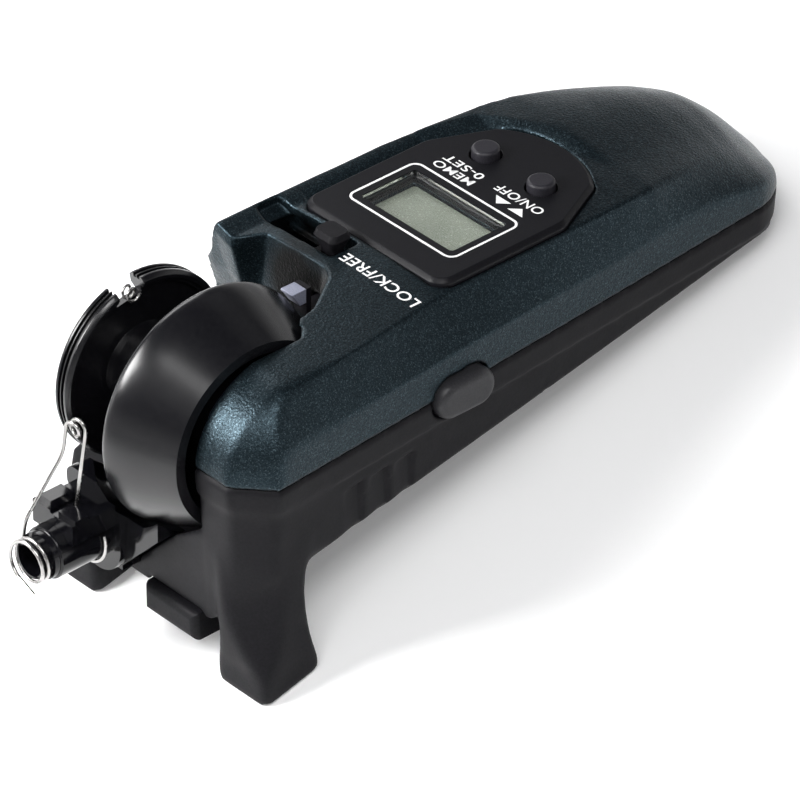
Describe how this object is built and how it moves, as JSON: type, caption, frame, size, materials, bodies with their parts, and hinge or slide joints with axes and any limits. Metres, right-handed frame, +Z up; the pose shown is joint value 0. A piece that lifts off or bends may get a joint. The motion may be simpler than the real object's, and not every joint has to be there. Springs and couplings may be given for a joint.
{
  "type": "electric fishing reel",
  "caption": "Hand-held electric reel for small fish: tapered case with a side spool, rod-tip socket, wire line guide, display panel, brake lever and two front legs.",
  "frame": {"origin": "centre of the bounding box on the ground plane that both feet and the tail stand on", "axes": "+Z up, -Y towards the rod, +Y towards the tail, -X towards the spool's open side"},
  "size_m": [0.0442, 0.1236, 0.0476],
  "materials": {
    "cover_paint": "metallic paint over moulded plastic, satin, fine grain",
    "case_plastic": "fine spark-eroded grain",
    "black_gloss": "polished black",
    "panel_black": "satin black",
    "window_clear": "clear acrylic window",
    "lcd_grey": "grey-green liquid crystal glass",
    "button_grey": "satin grey",
    "shoe_blue": "silver-blue lacquer",
    "steel_wire": "bright drawn wire",
    "screw_steel": "blackened steel screws",
    "shaft_steel": "ground steel",
    "motor_steel": "plated steel can",
    "gear_nylon": "natural nylon",
    "bush_brass": "turned brass",
    "board_green": "solder-masked laminate",
    "chip_black": "epoxy",
    "cell_label": "plain sleeve",
    "contact_nickel": "nickel plate"
  },
  "bodies": {
    "case": {"upper_cover": "cover_paint", "lower_case": "case_plastic", "case_screws": "screw_steel", "display_panel": "panel_black", "display_bezel": "panel_black", "display_window": "window_clear", "lcd_module": "lcd_grey", "circuit_board": "board_green", "board_screws": "screw_steel", "controller_chip": "chip_black", "tact_switches": "chip_black", "wind_switches": "chip_black", "motor": "motor_steel", "motor_plate": "shaft_steel", "gear_frame": "shaft_steel", "frame_screws": "screw_steel", "spool_bearing": "shaft_steel", "frame_bush": "bush_brass", "wheel_axle": "shaft_steel", "idler_stud": "shaft_steel", "battery_left": "cell_label", "battery_right": "cell_label", "front_contacts": "contact_nickel", "rear_contact": "contact_nickel", "door_pin": "shaft_steel", "rod_socket": "black_gloss", "socket_screw": "screw_steel", "guide_saddle": "black_gloss", "saddle_clip": "steel_wire", "wire_guide": "steel_wire"},
    "spool": {"spool": "black_gloss", "spool_cap": "black_gloss", "spool_knob": "black_gloss", "spool_shaft": "shaft_steel", "line_clip": "steel_wire", "drive_gear": "gear_nylon"},
    "idler_gear": {"idler_gear": "gear_nylon"},
    "reduction_gear": {"reduction_gear": "gear_nylon"},
    "motor_rotor": {"motor_rotor": "bush_brass"},
    "brake_lever": {"brake_lever": "case_plastic"},
    "brake_slide": {"brake_slide": "case_plastic", "brake_shoe": "shoe_blue"},
    "memo_button": {"memo_button": "button_grey"},
    "power_button": {"power_button": "button_grey"},
    "wind_button_right": {"wind_button_right": "button_grey"},
    "wind_button_left": {"wind_button_left": "button_grey"},
    "battery_door": {"battery_door": "case_plastic"}
  },
  "joints": [
    {"name": "spool_spin", "type": "hinge", "parent": "case", "child": "spool", "pos_m": [0, -0.03132, 0.03023], "axis": [1, 0, 0], "continuous": true},
    {"name": "idler_spin", "type": "hinge", "parent": "case", "child": "idler_gear", "pos_m": [0, -0.02162, 0.02781], "axis": [1, 0, 0], "continuous": true},
    {"name": "reduction_spin", "type": "hinge", "parent": "case", "child": "reduction_gear", "pos_m": [0, -0.01337, 0.02575], "axis": [1, 0, 0], "continuous": true},
    {"name": "motor_spin", "type": "hinge", "parent": "case", "child": "motor_rotor", "pos_m": [0, -0.00221, 0.02297], "axis": [1, 0, 0], "continuous": true},
    {"name": "lever_slide", "type": "slide", "parent": "case", "child": "brake_lever", "axis": [-1, 0, 0], "range_m": [0, 0.0075]},
    {"name": "brake_travel", "type": "slide", "parent": "case", "child": "brake_slide", "axis": [0, 0.9703, -0.2419], "range_m": [0, 0.0022]},
    {"name": "memo_press", "type": "slide", "parent": "case", "child": "memo_button", "axis": [0, -0.2419, -0.9703], "range_m": [0, 0.0005], "stiffness_N_per_m": 200},
    {"name": "power_press", "type": "slide", "parent": "case", "child": "power_button", "axis": [0, -0.2419, -0.9703], "range_m": [0, 0.0005], "stiffness_N_per_m": 200},
    {"name": "wind_press_right", "type": "slide", "parent": "case", "child": "wind_button_right", "axis": [-1, 0, 0], "range_m": [0, 0.0008], "stiffness_N_per_m": 200},
    {"name": "wind_press_left", "type": "slide", "parent": "case", "child": "wind_button_left", "axis": [1, 0, 0], "range_m": [0, 0.0008], "stiffness_N_per_m": 200},
    {"name": "door_hinge", "type": "hinge", "parent": "case", "child": "battery_door", "pos_m": [0, 0.04538, 0.00292], "axis": [1, 0, 0], "range_deg": [0, 85]}
  ],
  "couplings": [
    {"joint": "idler_spin", "follows": "spool_spin", "ratio": -1},
    {"joint": "reduction_spin", "follows": "spool_spin", "ratio": 1.4286},
    {"joint": "motor_spin", "follows": "spool_spin", "ratio": -5.1429},
    {"joint": "brake_travel", "follows": "lever_slide", "ratio": 0.29333}
  ]
}
